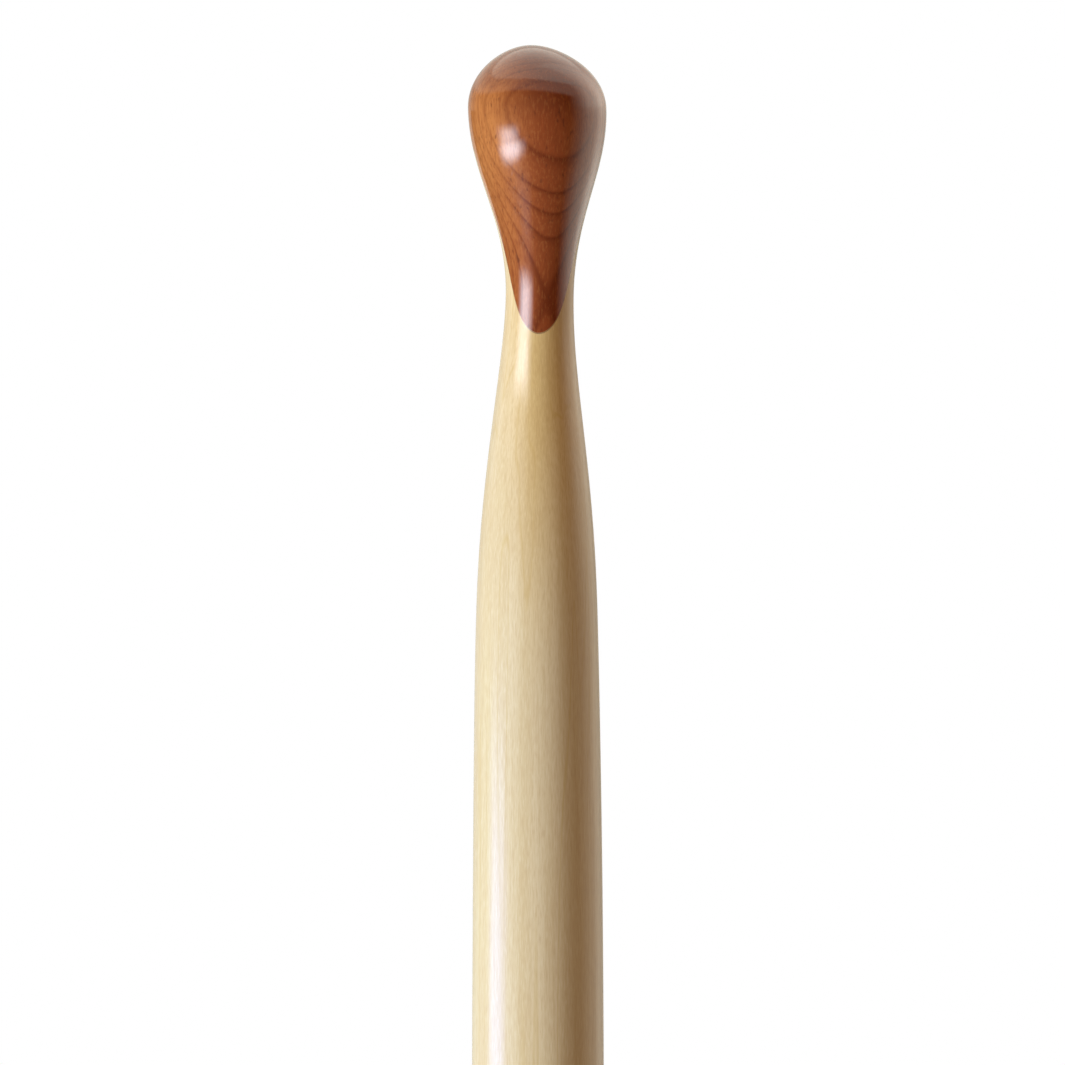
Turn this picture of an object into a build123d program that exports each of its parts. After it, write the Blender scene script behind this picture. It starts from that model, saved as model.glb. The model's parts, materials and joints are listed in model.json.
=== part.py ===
"""Spliced hardwood drumstick.

A pale hardwood shaft carries a thin tongue at its top. A teardrop head of darker hardwood is
slotted over the tongue and glued, and then the two woods are turned together to one outline.

Millimetres. +Z runs up the stick's axis, from the centre of the butt at the origin to the crown
of the head. The tongue is thin along Y and runs right through the head along X.
"""

import os

from build123d import *

# Overall
LENGTH = 406.0  # 16 inches, butt to crown
SHAFT_R = 7.5  # the even part of the shaft, where the hand holds it

# Head: a teardrop, measured down from the crown
SWELL_R = 7.87
SWELL_DROP = 7.25
CROWN_FLATNESS = 3.15  # how far the outline leaves the crown level
CROWN_FULLNESS = 4.4  # how far it stays upright above the swell
BACK_FULLNESS = 7.4  # how far it stays upright below the swell

# Neck: the waist between the head and the taper
NECK_R = 3.865
NECK_DROP = 28.4
NECK_ABOVE = 9.0  # how far the outline stays upright above the waist
NECK_BELOW = 8.4

# Taper: a hollow curve out of the neck that turns to a full one at the bend
BEND_R = 6.8
BEND_DROP = 61.6
BEND_SLOPE = 0.041  # radius gained per mm
BEND_REACH_UP = 15.0
BEND_REACH_DOWN = 12.0
FULL_DROP = 122.5  # where the shaft reaches SHAFT_R
FULL_REACH = 12.0

# Butt: a rounded end
BUTT_ROUND = 7.0  # height of the rounding
BUTT_SHOULDER = 4.6  # how far the outline stays upright in it
BUTT_FACE = 5.2  # how far the outline leaves the axis level

# Splice: the tongue on the shaft and the slot in the head
TONGUE_T = 2.0
TONGUE_DROP = 11.9  # blunt end of the tongue, below the crown
RUN_OUT_DROP = 17.7  # where its flat sides turn into arcs
RUN_OUT_R = 39.4  # the arcs, which run out through the neck's surface
GLUE_T = 0.05

BEYOND = 1.5  # how far cutting outlines pass the wood
SIDE = SWELL_R + BEYOND  # half width that clears the whole stick


# Blank: both woods, turned as one. The outline runs from the crown down to the butt.
bend = Vector(BEND_R, LENGTH - BEND_DROP)
along_bend = Vector(BEND_SLOPE, -1).normalized()
swell_z = LENGTH - SWELL_DROP
neck_z = LENGTH - NECK_DROP
full_z = LENGTH - FULL_DROP

with BuildPart() as blank:
    with BuildSketch(Plane.XZ):
        with BuildLine():
            Bezier(
                (0, LENGTH),
                (CROWN_FLATNESS, LENGTH),
                (SWELL_R, swell_z + CROWN_FULLNESS),
                (SWELL_R, swell_z),
            )
            Bezier(
                (SWELL_R, swell_z),
                (SWELL_R, swell_z - BACK_FULLNESS),
                (NECK_R, neck_z + NECK_ABOVE),
                (NECK_R, neck_z),
            )
            Bezier(
                (NECK_R, neck_z),
                (NECK_R, neck_z - NECK_BELOW),
                bend - along_bend * BEND_REACH_UP,
                bend,
            )
            Bezier(
                bend,
                bend + along_bend * BEND_REACH_DOWN,
                (SHAFT_R, full_z + FULL_REACH),
                (SHAFT_R, full_z),
            )
            Line((SHAFT_R, full_z), (SHAFT_R, BUTT_ROUND))
            Bezier(
                (SHAFT_R, BUTT_ROUND),
                (SHAFT_R, BUTT_ROUND - BUTT_SHOULDER),
                (BUTT_FACE, 0),
                (0, 0),
            )
            Line((0, 0), (0, LENGTH))
        make_face()
    revolve(axis=Axis.Z)


def shaft_side(gap):
    """The space on the shaft's side of the splice, grown outwards by gap."""
    half = TONGUE_T / 2 + gap
    radius = RUN_OUT_R - gap
    end_z = LENGTH - TONGUE_DROP + gap
    run_out_z = LENGTH - RUN_OUT_DROP
    # the arc starts upright on the tongue's flat side and ends at SIDE, outside the wood
    rise = SIDE - half
    drop = (radius**2 - (radius - rise) ** 2) ** 0.5
    with BuildPart() as side:
        with BuildSketch(Plane.YZ):
            with BuildLine():
                Polyline((0, end_z), (half, end_z), (half, run_out_z))
                RadiusArc((half, run_out_z), (SIDE, run_out_z - drop), -radius)
                Polyline((SIDE, run_out_z - drop), (SIDE, -BEYOND), (0, -BEYOND))
                mirror(about=Plane.YZ)
            make_face()
        extrude(amount=SIDE, both=True)
    return side.part


# Shaft: what the blank holds on the shaft's side of the splice, tongue included
with BuildPart() as shaft:
    add(blank.part)
    add(shaft_side(0), mode=Mode.INTERSECT)

# Tip: the rest of the blank. Its slot is larger than the tongue by the glue line.
with BuildPart() as tip:
    add(blank.part)
    add(shaft_side(GLUE_T), mode=Mode.SUBTRACT)

# Glue line: the film between the two woods, turned flush with them
with BuildPart() as glue_line:
    add(blank.part)
    add(shaft_side(GLUE_T), mode=Mode.INTERSECT)
    add(shaft_side(0), mode=Mode.SUBTRACT)

os.makedirs("parts", exist_ok=True)
for name, piece in {"shaft": shaft, "tip": tip, "glue_line": glue_line}.items():
    piece.part.label = name
    export_step(piece.part, f"parts/{name}.step")
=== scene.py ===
import json
import math

import bmesh
import bpy
import numpy as np
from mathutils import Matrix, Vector


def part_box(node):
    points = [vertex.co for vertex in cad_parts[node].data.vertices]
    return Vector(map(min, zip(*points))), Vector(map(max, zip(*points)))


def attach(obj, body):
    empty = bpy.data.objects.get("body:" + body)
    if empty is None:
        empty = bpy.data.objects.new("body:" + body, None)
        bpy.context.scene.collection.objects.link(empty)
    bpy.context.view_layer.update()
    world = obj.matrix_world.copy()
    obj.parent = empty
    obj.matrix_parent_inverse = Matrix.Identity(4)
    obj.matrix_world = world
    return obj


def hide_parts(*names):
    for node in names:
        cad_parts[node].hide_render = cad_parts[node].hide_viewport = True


# The looks of a spliced hardwood drumstick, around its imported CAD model. Metres, +Z up the stick.
# The two woods and the glue between them are turned here much finer than the CAD mesh, with the
# slight lean of a hand-sanded head, and get procedural wood under a clear lacquer.

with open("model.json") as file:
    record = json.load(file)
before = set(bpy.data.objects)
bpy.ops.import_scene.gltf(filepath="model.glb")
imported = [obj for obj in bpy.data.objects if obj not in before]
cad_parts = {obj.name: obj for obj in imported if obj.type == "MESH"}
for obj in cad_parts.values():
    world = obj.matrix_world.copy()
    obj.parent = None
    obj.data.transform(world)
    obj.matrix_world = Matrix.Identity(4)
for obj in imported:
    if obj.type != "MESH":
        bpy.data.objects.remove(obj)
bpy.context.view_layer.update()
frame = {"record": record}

MM = 0.001

# ---------------------------------------------------------------------------------- sizes
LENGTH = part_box("tip")[1].z
SHAFT_R = next(m for m in frame["record"]["mounts"] if m["name"] == "grip")["dims"]["r_mm"] * MM
SWELL_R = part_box("tip")[1].x
TONGUE_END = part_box("shaft")[1].z
GLUE_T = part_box("glue_line")[1].z - TONGUE_END

# The turned outline, as in the CAD model: drops are measured down from the crown
SWELL_DROP = 7.25 * MM
CROWN_FLATNESS = 3.15 * MM
CROWN_FULLNESS = 4.4 * MM
BACK_FULLNESS = 7.4 * MM
NECK_R = 3.865 * MM
NECK_DROP = 28.4 * MM
NECK_ABOVE = 9.0 * MM
NECK_BELOW = 8.4 * MM
BEND_R = 6.8 * MM
BEND_DROP = 61.6 * MM
BEND_SLOPE = 0.041
BEND_REACH_UP = 15.0 * MM
BEND_REACH_DOWN = 12.0 * MM
FULL_DROP = 122.5 * MM
FULL_REACH = 12.0 * MM
BUTT_ROUND = 7.0 * MM
BUTT_SHOULDER = 4.6 * MM
BUTT_FACE = 5.2 * MM

# The splice, as in the CAD model
TONGUE_T = 2.0 * MM
RUN_OUT_DROP = 17.7 * MM
RUN_OUT_R = 39.4 * MM
SIDE = SWELL_R + 1.5 * MM  # half width of the cutting solids

SEGMENTS = 192  # round the stick


# --------------------------------------------------------------------------------- shapes
def bezier(a, b, c, d, steps):
    """Points along a cubic Bezier curve, without its last one."""
    t = np.linspace(0, 1, steps, endpoint=False)[:, None]
    a, b, c, d = map(np.array, (a, b, c, d))
    return (1 - t) ** 3 * a + 3 * (1 - t) ** 2 * t * b + 3 * (1 - t) * t**2 * c + t**3 * d


def turned_outline():
    """(radius, height) points from the crown down to the butt, the poles left out."""
    swell = (SWELL_R, LENGTH - SWELL_DROP)
    neck = (NECK_R, LENGTH - NECK_DROP)
    bend = np.array((BEND_R, LENGTH - BEND_DROP))
    along = np.array((BEND_SLOPE, -1)) / math.hypot(BEND_SLOPE, 1)
    full = (SHAFT_R, LENGTH - FULL_DROP)
    shoulder = (SHAFT_R, BUTT_ROUND)
    crown_reach = (CROWN_FLATNESS, LENGTH)
    swell_above = (swell[0], swell[1] + CROWN_FULLNESS)
    swell_below = (swell[0], swell[1] - BACK_FULLNESS)
    neck_above = (neck[0], neck[1] + NECK_ABOVE)
    neck_below = (neck[0], neck[1] - NECK_BELOW)
    bend_above = bend - along * BEND_REACH_UP
    bend_below = bend + along * BEND_REACH_DOWN
    full_above = (full[0], full[1] + FULL_REACH)
    butt_side = (SHAFT_R, BUTT_ROUND - BUTT_SHOULDER)
    stretches = (
        bezier((0, LENGTH), crown_reach, swell_above, swell, 40),
        bezier(swell, swell_below, neck_above, neck, 70),
        bezier(neck, neck_below, bend_above, bend, 80),
        bezier(bend, bend_below, full_above, full, 60),
        [(SHAFT_R, z) for z in np.linspace(full[1], BUTT_ROUND, 90, endpoint=False)],
        bezier(shoulder, butt_side, (BUTT_FACE, 0), (0, 0), 30),
    )
    return np.vstack(stretches)[1:]


OUTLINE = turned_outline()


def lean(z):
    """How far the stick's centre line lies off the axis along X: the hand-sanded crown leans one
    way, the neck the other, and the taper back again."""
    drop = (LENGTH - z) / MM
    crown = -0.72 * np.exp(-drop / 3.6)
    neck = 0.24 * np.exp(-(((drop - 25) / 9.5) ** 2))
    taper = -0.12 * np.exp(-(((drop - 66) / 24) ** 2))
    return (crown + neck + taper) * MM


def new_mesh(name, verts, faces):
    mesh = bpy.data.meshes.new(name)
    mesh.from_pydata([tuple(v) for v in verts], [], faces)
    mesh.validate()
    obj = bpy.data.objects.new(name, mesh)
    bpy.context.scene.collection.objects.link(obj)
    return obj


def turned_blank():
    """Both woods as one closed turned body."""
    turns = np.linspace(0, 2 * math.pi, SEGMENTS, endpoint=False)
    rings = [(r * math.cos(a), r * math.sin(a), z) for r, z in OUTLINE for a in turns]
    top, bottom = len(rings), len(rings) + 1
    last = (len(OUTLINE) - 1) * SEGMENTS
    faces = []
    for i in range(SEGMENTS):
        j = (i + 1) % SEGMENTS
        faces.append((top, i, j))
        faces.append((bottom, last + j, last + i))
        for row in range(0, last, SEGMENTS):
            faces.append((row + i, row + SEGMENTS + i, row + SEGMENTS + j, row + j))
    return new_mesh("blank", [*rings, (0, 0, LENGTH), (0, 0, 0)], faces)


def shaft_side(gap):
    """A prism along X that holds the shaft's side of the splice, grown outwards by gap."""
    half = TONGUE_T / 2 + gap
    radius = RUN_OUT_R - gap
    run_out_z = LENGTH - RUN_OUT_DROP
    last_turn = math.acos((radius - (SIDE - half)) / radius)
    arc = [
        (half + radius * (1 - math.cos(a)), run_out_z - radius * math.sin(a))
        for a in np.linspace(0, last_turn, 64)
    ]
    right = [(half, TONGUE_END + gap), *arc, (SIDE, -SIDE)]
    outline = [*right, *((-y, z) for y, z in reversed(right))]
    n = len(outline)
    verts = [(x, y, z) for x in (-SIDE, SIDE) for y, z in outline]
    sides = [(i, (i + 1) % n, n + (i + 1) % n, n + i) for i in range(n)]
    ends = [tuple(reversed(range(n))), tuple(range(n, 2 * n))]
    prism = new_mesh("prism", verts, [*sides, *ends])
    bm = bmesh.new()
    bm.from_mesh(prism.data)
    bmesh.ops.recalc_face_normals(bm, faces=bm.faces)
    bm.to_mesh(prism.data)
    bm.free()
    return prism


def cut(name, body, *steps):
    """body cut by (operation, tool) steps. Turned faces keep material 0, cut faces get 1."""
    obj = bpy.data.objects.new(name, body.data.copy())
    obj.data.name = name
    bpy.context.scene.collection.objects.link(obj)
    for operation, tool in steps:
        step = obj.modifiers.new(operation, "BOOLEAN")
        step.operation = operation
        step.object = tool
        step.solver = "EXACT"
    depsgraph = bpy.context.evaluated_depsgraph_get()
    made = bpy.data.meshes.new_from_object(obj.evaluated_get(depsgraph))
    obj.modifiers.clear()
    obj.data = made
    return obj


def leaning_normals(co):
    """The exact normals of the leaning surface, at points of the upright one."""
    down = OUTLINE[:, 1]
    up = down[::-1]
    radius_slope = np.gradient(OUTLINE[:, 0], down)[::-1]
    lean_slope = np.gradient(lean(down), down)[::-1]
    turn = np.arctan2(co[:, 1], co[:, 0])
    z = co[:, 2]
    tilt = np.interp(z, up, radius_slope) + np.interp(z, up, lean_slope) * np.cos(turn)
    normals = np.stack([np.cos(turn), np.sin(turn), -tilt], 1)
    normals /= np.linalg.norm(normals, axis=1)[:, None]
    on_pole = np.hypot(co[:, 0], co[:, 1]) < 0.01 * MM
    normals[on_pole] = np.where(co[on_pole, 2:] > LENGTH / 2, (0, 0, 1), (0, 0, -1))
    return normals


def lay_lean(obj):
    """Gives the turned faces the normals of the leaning surface, and leans the mesh."""
    mesh = obj.data
    co = np.empty(len(mesh.vertices) * 3)
    mesh.vertices.foreach_get("co", co)
    co = co.reshape(-1, 3)
    turned = leaning_normals(co)
    co[:, 0] += lean(co[:, 2])
    mesh.vertices.foreach_set("co", co.ravel())
    mesh.update()
    normals = []
    for face in mesh.polygons:
        face.use_smooth = face.material_index == 0
        for corner in face.vertices:
            normals.append(turned[corner] if face.material_index == 0 else face.normal)
    mesh.normals_split_custom_set([tuple(n) for n in normals])


# ------------------------------------------------------------------------------ materials
class Nodes:
    """Short names for the nodes that a material or world is wired from."""

    def __init__(self, tree):
        self.tree = tree
        tree.nodes.clear()

    def new(self, kind, **settings):
        node = self.tree.nodes.new(kind)
        for key, value in settings.items():
            setattr(node, key, value)
        return node

    def put(self, socket, value):
        """Links a socket, or sets a constant."""
        if isinstance(value, bpy.types.NodeSocket):
            self.tree.links.new(value, socket)
        elif value is not None:
            socket.default_value = value

    def surface(self, shader, kind="ShaderNodeOutputMaterial"):
        output = self.new(kind)
        self.put(output.inputs["Surface"], shader.outputs[0])

    def place(self):
        """Where a point is on its object, in metres."""
        return self.new("ShaderNodeTexCoord").outputs["Object"]

    def parts(self, vector):
        node = self.new("ShaderNodeSeparateXYZ")
        self.put(node.inputs[0], vector)
        return node.outputs

    def math(self, operation, a, b=None, c=None):
        node = self.new("ShaderNodeMath", operation=operation)
        for socket, value in zip(node.inputs, (a, b, c)):
            self.put(socket, value)
        return node.outputs[0]

    def apart(self, a, b):
        """The distance between two values."""
        return self.math("ABSOLUTE", self.math("SUBTRACT", a, b))

    def stretch(self, vector, scale):
        """vector times scale, part by part."""
        node = self.new("ShaderNodeVectorMath", operation="MULTIPLY")
        self.put(node.inputs[0], vector)
        node.inputs[1].default_value = scale
        return node.outputs[0]

    def noise(self, vector, per_metre, detail=2.0, roughness=0.5):
        """Noise with this many cells to the metre along X, Y and Z."""
        node = self.new("ShaderNodeTexNoise")
        self.put(node.inputs["Vector"], self.stretch(vector, per_metre))
        node.inputs["Scale"].default_value = 1.0
        node.inputs["Detail"].default_value = detail
        node.inputs["Roughness"].default_value = roughness
        return node.outputs["Fac"]

    def spread(self, value, low, high, to_low=0.0, to_high=1.0, smooth=True):
        """value's range low to high laid over to_low to to_high, and held outside it."""
        kind = "SMOOTHSTEP" if smooth else "LINEAR"
        node = self.new("ShaderNodeMapRange", interpolation_type=kind)
        for socket, number in zip(node.inputs, (value, low, high, to_low, to_high)):
            self.put(socket, number)
        return node.outputs[0]

    def ramp(self, value, *stops):
        """A colour ramp of two (place, colour) stops."""
        node = self.new("ShaderNodeValToRGB")
        self.put(node.inputs[0], value)
        for element, (place, colour) in zip(node.color_ramp.elements, stops):
            element.position = place
            element.color = (*colour, 1)
        return node.outputs[0]

    def mix(self, factor, a, b, blend="MIX"):
        node = self.new("ShaderNodeMix", data_type="RGBA", blend_type=blend)
        for socket, value in ((node.inputs[0], factor), (node.inputs[6], a), (node.inputs[7], b)):
            self.put(socket, (*value, 1) if isinstance(value, tuple) else value)
        return node.outputs[2]

    def tinted(self, colour, *tints):
        """colour with (amount, tint) layers laid over it in turn."""
        for amount, tint in tints:
            colour = self.mix(amount, colour, tint)
        return colour

    def bump(self, height, distance, under=None):
        node = self.new("ShaderNodeBump")
        node.inputs["Strength"].default_value = 1.0
        node.inputs["Distance"].default_value = distance
        self.put(node.inputs["Height"], height)
        self.put(node.inputs["Normal"], under)
        return node.outputs[0]


def material(name):
    made = bpy.data.materials.new(name)
    made.use_nodes = True
    return made, Nodes(made.node_tree)


def lacquered(nodes, colour, roughness, wood_normal, place, gloss=1.0):
    """Wood under a clear gloss lacquer, which follows the grain only in long soft ripples."""
    ripples = nodes.noise(place, (700, 700, 60), detail=1)
    pinholes = nodes.noise(place, (2600, 2600, 500))
    rippled = nodes.bump(ripples, 0.03 * MM)
    shader = nodes.new("ShaderNodeBsdfPrincipled")
    nodes.put(shader.inputs["Base Color"], colour)
    nodes.put(shader.inputs["Roughness"], roughness)
    nodes.put(shader.inputs["Normal"], wood_normal)
    nodes.put(shader.inputs["Coat Normal"], nodes.bump(pinholes, 0.003 * MM, under=rippled))
    shader.inputs["Specular IOR Level"].default_value = 0.05
    shader.inputs["Coat Weight"].default_value = gloss
    shader.inputs["Coat Roughness"].default_value = 0.1
    shader.inputs["Coat IOR"].default_value = 1.5
    nodes.surface(shader)


def pale_wood():
    """Maple-like: cream, with fine straight fibres, faint bands and growth lines, and short pale
    and dark flecks."""
    made, nodes = material("pale_wood_lacquered")
    place = nodes.place()
    x, _, z = nodes.parts(place)
    bands = nodes.noise(place, (450, 450, 7))
    fibres = nodes.noise(place, (2600, 2600, 60), detail=3, roughness=0.6)
    flecks = nodes.noise(place, (8500, 8500, 750))
    layers = nodes.noise(place, (420, 420, 5), detail=1)
    clouds = nodes.noise(place, (110, 110, 25), detail=3)
    cream = nodes.ramp(
        nodes.spread(bands, 0.3, 0.7),
        (0.0, (0.765, 0.585, 0.360)),
        (1.0, (0.835, 0.665, 0.450)),
    )
    growth_line = nodes.spread(nodes.apart(layers, 0.46), 0.0, 0.02, 0.4, 0.0)
    colour = nodes.tinted(
        cream,
        (nodes.spread(clouds, 0.4, 0.7, 0.0, 0.5), (0.80, 0.64, 0.37)),
        (nodes.spread(fibres, 0.42, 0.7, 0.0, 0.4), (0.70, 0.50, 0.28)),
        (nodes.spread(flecks, 0.5, 0.7, 0.0, 0.36), (0.90, 0.76, 0.56)),
        (nodes.spread(flecks, 0.5, 0.3, 0.0, 0.42), (0.68, 0.47, 0.28)),
        (growth_line, (0.70, 0.49, 0.22)),
    )
    # warmer and darker towards the splice and up the middle
    near_splice = nodes.spread(z, LENGTH - 78 * MM, LENGTH - 34 * MM, 0.4, 1.0)
    up_middle = nodes.spread(nodes.apart(x, 0.5 * MM), 0.5 * MM, 6 * MM, 1.0, 0.3)
    warmer_middle = nodes.math("MULTIPLY", near_splice, up_middle)
    colour = nodes.mix(warmer_middle, colour, (0.98, 0.8, 0.5), "MULTIPLY")
    roughness = nodes.spread(fibres, 0.3, 0.7, 0.42, 0.6)
    lacquered(nodes, colour, roughness, nodes.bump(fibres, 0.01 * MM), place, gloss=0.75)
    return made


def growth_lines(nodes, place, x, y):
    """The dark late wood of growth layers that lie nearly square to Y, cupped and slightly
    askew. 1 on each line, fading inwards and ending sharply outwards. Depths are in mm."""
    layer_thickness = 0.73
    cupping = 0.0457  # mm of depth for each square mm across
    askew = 0.133
    wide_from = 6.15  # the outermost layer grew wider than the rest
    wide_share = 0.66
    offset = 10.7
    waves = nodes.noise(place, (120, 120, 45), detail=1)
    sway = nodes.math("MULTIPLY", nodes.math("SUBTRACT", waves, 0.5), 0.5)
    across = nodes.math("DIVIDE", x, MM)
    front = nodes.math("DIVIDE", y, -MM)
    cup = nodes.math("MULTIPLY", nodes.math("MULTIPLY", across, across), cupping)
    depth = nodes.math("ADD", front, nodes.math("MULTIPLY", across, askew))
    depth = nodes.math("ADD", nodes.math("ADD", depth, cup), sway)
    past = nodes.math("SUBTRACT", depth, wide_from)
    layer = nodes.math("MINIMUM", depth, nodes.math("MULTIPLY_ADD", past, wide_share, wide_from))
    layer = nodes.math("DIVIDE", nodes.math("ADD", layer, offset), layer_thickness)
    phase = nodes.math("FRACT", layer)
    fading = nodes.math("POWER", nodes.spread(phase, 0.45, 1.0, smooth=False), 3.0)
    ending = nodes.spread(phase, 0.0, 0.14, 1.0, 0.0)
    return nodes.math("MAXIMUM", fading, ending)


def red_wood():
    """Cherry-like, flat-sawn: orange towards the sides and darker and redder up the middle, with
    dark growth lines, fine fibres and dark pores along Z."""
    made, nodes = material("red_wood_lacquered")
    place = nodes.place()
    x, y, z = nodes.parts(place)
    off_middle = nodes.apart(x, 1.4 * MM)
    fibres = nodes.noise(place, (3600, 3600, 110), detail=3, roughness=0.6)
    pores = nodes.noise(place, (5200, 5200, 1300))
    specks = nodes.noise(place, (2600, 2600, 900), detail=1)
    clouds = nodes.noise(place, (170, 170, 60))
    late = growth_lines(nodes, place, x, y)
    late = nodes.math("MULTIPLY", late, nodes.spread(off_middle, 2 * MM, 6 * MM, 0.8, 0.32))
    # painted shade where little light falls from above: the crown is darker, and so is the middle
    # just below it
    below_crown = nodes.spread(z, LENGTH - 9.5 * MM, LENGTH - 6 * MM, 0.0, 0.55)
    up_middle = nodes.spread(off_middle, 1.5 * MM, 6.5 * MM, 1.0, 0.0)
    crown = nodes.spread(z, LENGTH - 6 * MM, LENGTH - 4 * MM, 0.0, 0.4)
    painted_crown_shade = nodes.math("MAXIMUM", nodes.math("MULTIPLY", below_crown, up_middle), crown)
    red, orange = (0.320, 0.064, 0.017), (0.550, 0.185, 0.048)
    colour = nodes.tinted(
        nodes.mix(nodes.spread(off_middle, 0.5 * MM, 7.5 * MM), red, orange),
        # painted shade on the crown and on the middle just below it
        (painted_crown_shade, (0.15, 0.032, 0.012)),
        (nodes.spread(clouds, 0.4, 0.66, 0.0, 0.4), (0.28, 0.062, 0.017)),
        (late, (0.15, 0.022, 0.006)),
        (nodes.spread(fibres, 0.42, 0.7, 0.0, 0.4), (0.26, 0.055, 0.014)),
        (nodes.spread(pores, 0.5, 0.72, 0.0, 0.4), (0.24, 0.05, 0.015)),
        (nodes.spread(pores, 0.5, 0.3, 0.0, 0.22), (0.56, 0.19, 0.055)),
        (nodes.spread(specks, 0.64, 0.78, 0.0, 0.55), (0.13, 0.03, 0.012)),
    )
    roughness = nodes.spread(fibres, 0.3, 0.7, 0.38, 0.55)
    lacquered(nodes, colour, roughness, nodes.bump(fibres, 0.01 * MM), place)
    return made


def cured_glue():
    """A thin tan line, lacquered over."""
    made, nodes = material("cured_glue")
    place = nodes.place()
    specks = nodes.noise(place, (2500, 2500, 900))
    colour = nodes.ramp(specks, (0.3, (0.34, 0.15, 0.06)), (0.7, (0.48, 0.27, 0.12)))
    lacquered(nodes, colour, 0.45, None, place)
    return made


def bare_wood(name, dark, light):
    """The sawn faces inside the splice, which no light reaches."""
    made, nodes = material(name)
    fibres = nodes.noise(nodes.place(), (3000, 3000, 120))
    shader = nodes.new("ShaderNodeBsdfPrincipled")
    nodes.put(shader.inputs["Base Color"], nodes.ramp(fibres, (0.3, dark), (0.7, light)))
    shader.inputs["Roughness"].default_value = 0.8
    nodes.surface(shader)
    return made


# ---------------------------------------------------------------------------------- stick
stick_lit = bpy.data.collections.new("stick_lit")  # what the stick's suns reach
floor_lit = bpy.data.collections.new("floor_lit")  # what the floor's suns reach


def build_stick():
    blank = turned_blank()
    tongue, slot = shaft_side(0), shaft_side(GLUE_T)
    for body, face_index in ((blank, 0), (tongue, 1), (slot, 1)):
        body.data.materials.append(None)
        body.data.materials.append(None)
        for face in body.data.polygons:
            face.material_index = face_index
    pieces = (
        ("shaft", "pale_wood", pale_wood(), (("INTERSECT", tongue),)),
        ("tip", "red_wood", red_wood(), (("DIFFERENCE", slot),)),
        ("glue_line", "glue", cured_glue(), (("INTERSECT", slot), ("DIFFERENCE", tongue))),
    )
    bare = {
        "shaft": bare_wood("pale_wood_bare", (0.62, 0.47, 0.29), (0.76, 0.61, 0.40)),
        "tip": bare_wood("red_wood_bare", (0.28, 0.08, 0.025), (0.42, 0.14, 0.045)),
    }
    for node, slot_name, surface, steps in pieces:
        piece = cut(f"{node}_turned", blank, *steps)
        lay_lean(piece)
        piece.data.materials.clear()
        piece.data.materials.append(surface)
        piece.data.materials.append(bare.get(node, surface))
        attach(piece, "root")
        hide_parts(node)
        stick_lit.objects.link(piece)
    for tool in (blank, tongue, slot):
        bpy.data.objects.remove(tool)


build_stick()


# ---------------------------------------------------------------------------------- stage
def toward(azimuth, elevation, distance, about=(0, 0, 0)):
    """A point seen from about at an azimuth to the right of the camera's side, in degrees."""
    a, e = math.radians(azimuth), math.radians(elevation)
    way = Vector((math.sin(a) * math.cos(e), -math.cos(a) * math.cos(e), math.sin(e)))
    return Vector(about) + way * distance


def show_to_lacquer_only(obj):
    obj.visible_camera = False
    obj.visible_diffuse = False
    obj.visible_shadow = False


def soft_card(name, z, azimuth, distance, size, radiance, hold, colour):
    """A glowing card that faces the stick at height z, for a highlight in the lacquer. Its light
    holds over the share hold of the way from its middle line to each edge, left, right, bottom
    and top, and fades from there."""
    half_width, half_height = size[0] / 2, size[1] / 2
    corners = [(-1, -1), (1, -1), (1, 1), (-1, 1)]
    verts = [(x * half_width, y * half_height, 0) for x, y in corners]
    card = new_mesh(name, verts, [(0, 1, 2, 3)])
    stick = Vector((0, 0, z))
    card.location = toward(azimuth, 0, distance, stick)
    card.rotation_mode = "QUATERNION"
    card.rotation_quaternion = (card.location - stick).to_track_quat("Z", "Y")
    made, nodes = material(name)
    x, y, _ = nodes.parts(nodes.place())
    strength = radiance
    for across, half, low, high in (
        (x, half_width, hold[0], hold[1]),
        (y, half_height, hold[2], hold[3]),
    ):
        strength = nodes.math("MULTIPLY", nodes.spread(across, -half, -half * low), strength)
        strength = nodes.math("MULTIPLY", nodes.spread(across, half * high, half, 1, 0), strength)
    glow = nodes.new("ShaderNodeEmission")
    glow.inputs["Color"].default_value = (*colour, 1)
    nodes.put(glow.inputs["Strength"], strength)
    both = nodes.new("ShaderNodeAddShader")
    nodes.put(both.inputs[0], glow.outputs[0])
    nodes.put(both.inputs[1], nodes.new("ShaderNodeBsdfTransparent").outputs[0])
    nodes.surface(both)
    card.data.materials.append(made)
    show_to_lacquer_only(card)


def black_flag(azimuth, lowest, highest, reach):
    """An upright black flag beside the head, seen by the lacquer only. It stands just off the
    wood and keeps the cards' light from the back, where it would glare at a grazing angle."""
    rows = [(radius, z) for radius, z in OUTLINE if lowest < z < highest]
    way = toward(azimuth, 0, 1)
    inner = [way * radius * 1.05 + Vector((0, 0, z)) for radius, z in rows]
    outer = [way * reach + Vector((0, 0, z)) for _, z in rows]
    count = len(rows)
    faces = [(i, i + 1, count + i + 1, count + i) for i in range(count - 1)]
    flag = new_mesh("black_flag", inner + outer, faces)
    made, nodes = material("black_flag")
    dark = nodes.new("ShaderNodeEmission")
    dark.inputs["Color"].default_value = (0, 0, 0, 1)
    nodes.surface(dark)
    flag.data.materials.append(made)
    show_to_lacquer_only(flag)


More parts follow.
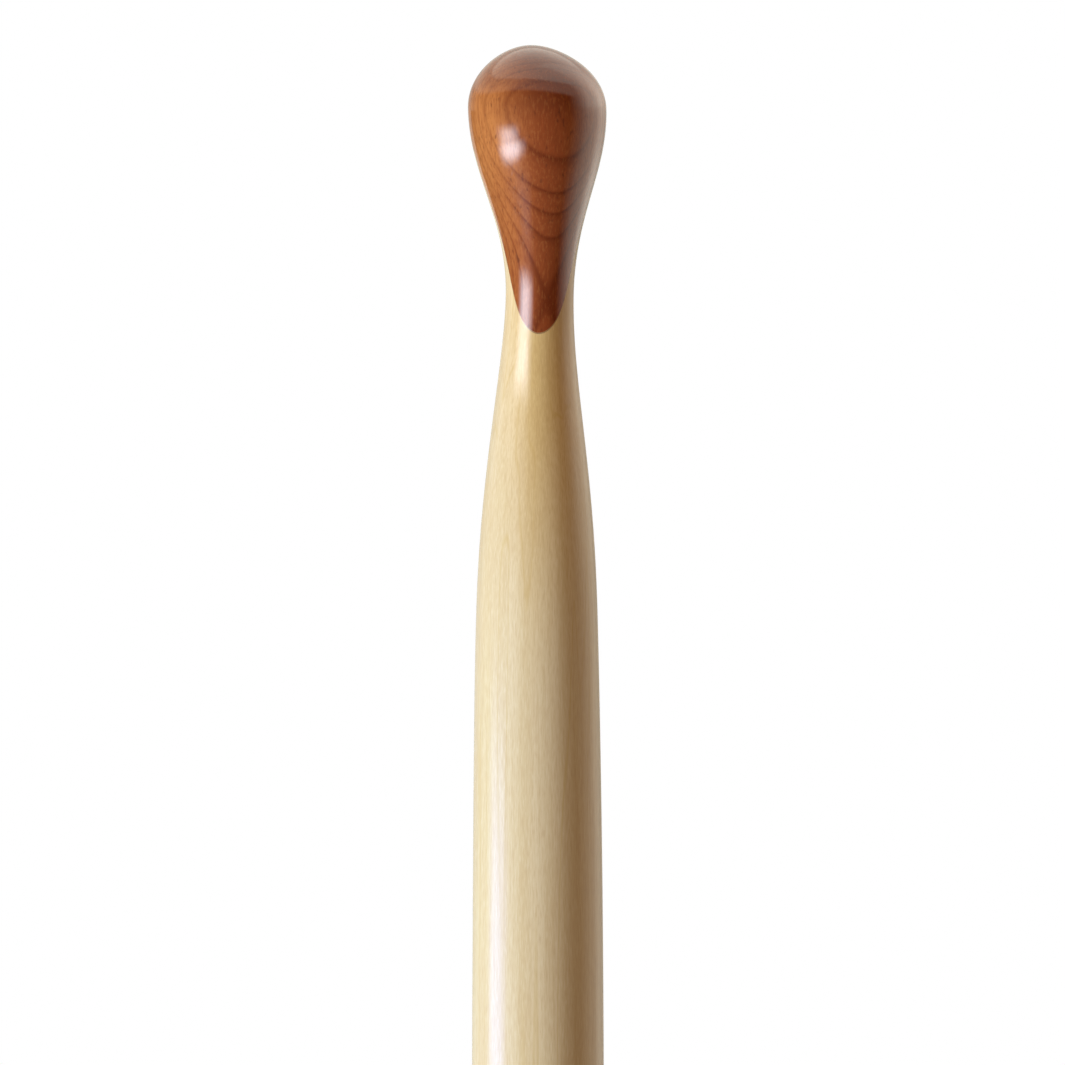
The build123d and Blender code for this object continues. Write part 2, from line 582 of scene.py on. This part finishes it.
def hang_cards():
    """The lacquer's highlights: on the head, down the neck, where the neck widens, and all along
    the shaft."""
    cool_white = (0.8, 0.88, 1)
    soft_card(
        "head_card",
        z=LENGTH - 17.2 * MM,
        azimuth=-47,
        distance=30 * MM,
        size=(27 * MM, 10.5 * MM),
        radiance=10.5,
        hold=(0, 0, 0, 0.15),
        colour=cool_white,
    )
    soft_card(
        "neck_card",
        z=LENGTH - 27 * MM,
        azimuth=-47,
        distance=42 * MM,
        size=(50 * MM, 11 * MM),
        radiance=15.5,
        hold=(0.1, 0.1, 0, 0.2),
        colour=cool_white,
    )
    soft_card(
        "tail_card",
        z=LENGTH - 41 * MM,
        azimuth=-34,
        distance=38 * MM,
        size=(28 * MM, 26 * MM),
        radiance=1.2,
        hold=(0, 0, 0, 0),
        colour=(0.6, 0.8, 1),
    )
    side_height = LENGTH - 62 * MM
    soft_card(
        "side_card",
        z=side_height / 2,
        azimuth=-73,
        distance=80 * MM,
        size=(70 * MM, side_height),
        radiance=11,
        hold=(0.25, 0.15, 0.9, 0.74),
        colour=(0.3, 0.45, 1),
    )
    black_flag(-80, LENGTH - 45 * MM, LENGTH - SWELL_DROP, 22 * MM)


def sun(name, lit, azimuth, elevation, strength, width, colour=(1, 1, 1)):
    """A far light, width degrees wide, for the bare surfaces of the lit collection. It leaves no
    highlight."""
    light = bpy.data.lights.new(name, "SUN")
    light.energy = strength * math.pi
    light.angle = math.radians(width)
    light.color = colour
    obj = bpy.data.objects.new(name, light)
    obj.rotation_mode = "QUATERNION"
    obj.rotation_quaternion = toward(azimuth, elevation, 1).to_track_quat("Z", "Y")
    obj.visible_glossy = False
    obj.light_linking.receiver_collection = lit
    bpy.context.scene.collection.objects.link(obj)


def light_wood():
    """A cool key from the lower left, warm light from above and all round, and a sun behind."""
    sun("key", stick_lit, -56, -26, strength=1.68, width=30, colour=(0.66, 0.84, 1.04))
    sun("top", stick_lit, 20, 78, strength=0.28, width=60, colour=(1, 0.62, 0.28))
    sun("back", stick_lit, 178, 8, strength=1.15, width=20, colour=(1, 0.96, 0.9))
    for azimuth, strength in ((0, 0.15), (120, 0.19), (240, 0.3)):
        sun("fill", stick_lit, azimuth, 8, strength=strength, width=60, colour=(1, 0.66, 0.28))


def studio_light(nodes):
    """How bright the studio is each way: dark in front, a bright wall on the right, paler ones far
    round on the left and low down behind, and a wide soft light overhead."""
    rad = math.radians
    way = nodes.new("ShaderNodeTexCoord").outputs["Generated"]
    x, y, z = nodes.parts(way)
    azimuth = nodes.math("ARCTAN2", x, nodes.math("MULTIPLY", y, -1.0))
    left = nodes.spread(azimuth, rad(-175), rad(-100), 0.6, 0.0)
    right = nodes.spread(azimuth, rad(54), rad(106), 0.0, 1.7)
    past_right = nodes.spread(azimuth, rad(126), rad(160), 0.0, 1.1)
    right = nodes.math("SUBTRACT", right, past_right)
    right = nodes.math("MULTIPLY", right, nodes.spread(z, 0.0, 0.15, 1.0, 1.5))
    behind = nodes.spread(nodes.math("ABSOLUTE", azimuth), rad(110), rad(150), 0.0, 0.7)
    behind = nodes.math("MULTIPLY", behind, nodes.spread(z, -0.02, -0.2))
    light = nodes.math("ADD", nodes.math("ADD", left, right), behind)
    narrow = nodes.new("ShaderNodeVectorMath", operation="NORMALIZE")
    nodes.put(narrow.inputs[0], nodes.stretch(way, (0.75, 1, 1)))
    overhead = nodes.new("ShaderNodeVectorMath", operation="DOT_PRODUCT")
    nodes.put(overhead.inputs[0], narrow.outputs[0])
    overhead.inputs[1].default_value = toward(165, 76, 1)
    for radius, strength in ((66, 0.9), (42, 2.0)):
        edge = math.cos(rad(radius + 4)), math.cos(rad(radius - 4))
        lid = nodes.spread(overhead.outputs["Value"], *edge, 0.0, strength)
        light = nodes.math("MAXIMUM", light, lid)
    return light


def make_world():
    """The studio, which only the lacquer sees. The camera sees plain white."""
    world = bpy.data.worlds.new("studio")
    bpy.context.scene.world = world
    world.use_nodes = True
    world.cycles_visibility.diffuse = False
    nodes = Nodes(world.node_tree)
    seen = nodes.new("ShaderNodeLightPath").outputs["Is Camera Ray"]
    background = nodes.new("ShaderNodeBackground")
    nodes.put(background.inputs["Color"], nodes.mix(seen, (1, 0.99, 0.87), (1, 1, 1)))
    strength = nodes.math("MAXIMUM", seen, studio_light(nodes))
    nodes.put(background.inputs["Strength"], strength)
    nodes.surface(background, "ShaderNodeOutputWorld")


def floor_material(reach):
    """Pale, fading to nothing towards the rim, and clear from below."""
    made, nodes = material("pale_floor")
    away = nodes.new("ShaderNodeVectorMath", operation="LENGTH")
    nodes.put(away.inputs[0], nodes.place())
    fade = nodes.spread(away.outputs["Value"], 0.35 * reach, 0.95 * reach)
    from_below = nodes.new("ShaderNodeNewGeometry").outputs["Backfacing"]
    shader = nodes.new("ShaderNodeBsdfPrincipled")
    shader.inputs["Base Color"].default_value = (0.9, 0.9, 0.9, 1)
    shader.inputs["Roughness"].default_value = 0.9
    shader.inputs["Specular IOR Level"].default_value = 0
    mixed = nodes.new("ShaderNodeMixShader")
    nodes.put(mixed.inputs[0], nodes.math("MAXIMUM", fade, from_below))
    nodes.put(mixed.inputs[1], shader.outputs[0])
    nodes.put(mixed.inputs[2], nodes.new("ShaderNodeBsdfTransparent").outputs[0])
    nodes.surface(mixed)
    return made


def make_floor():
    """A round floor under the stick, with lights of its own."""
    reach = 1.6
    bm = bmesh.new()
    bmesh.ops.create_circle(bm, cap_ends=True, segments=96, radius=reach)
    mesh = bpy.data.meshes.new("floor")
    bm.to_mesh(mesh)
    bm.free()
    mesh.materials.append(floor_material(reach))
    floor = bpy.data.objects.new("floor", mesh)
    bpy.context.scene.collection.objects.link(floor)
    floor.visible_shadow = False
    floor.visible_diffuse = False
    floor.visible_glossy = False
    floor_lit.objects.link(floor)
    for azimuth in (-60, 60, 180):
        sun("floor_light", floor_lit, azimuth, 60, strength=0.38, width=25)


def make_camera():
    """A long lens square to the stick, on its upper part."""
    frame_width = 121.0 * MM
    middle = (-0.62 * MM, 0, LENGTH - 55.38 * MM)
    distance = 1.2
    camera = bpy.data.objects.new("camera", bpy.data.cameras.new("camera"))
    camera.data.sensor_width = 36
    camera.data.lens = 36 * distance / frame_width
    camera.location = toward(0, 0, distance, middle)
    camera.rotation_euler = (math.radians(90), 0, 0)
    camera.data.clip_start, camera.data.clip_end = 0.01, 50
    bpy.context.scene.collection.objects.link(camera)
    bpy.context.scene.camera = camera


make_world()
hang_cards()
light_wood()
make_floor()
make_camera()
bpy.context.scene.view_settings.view_transform = "Standard"
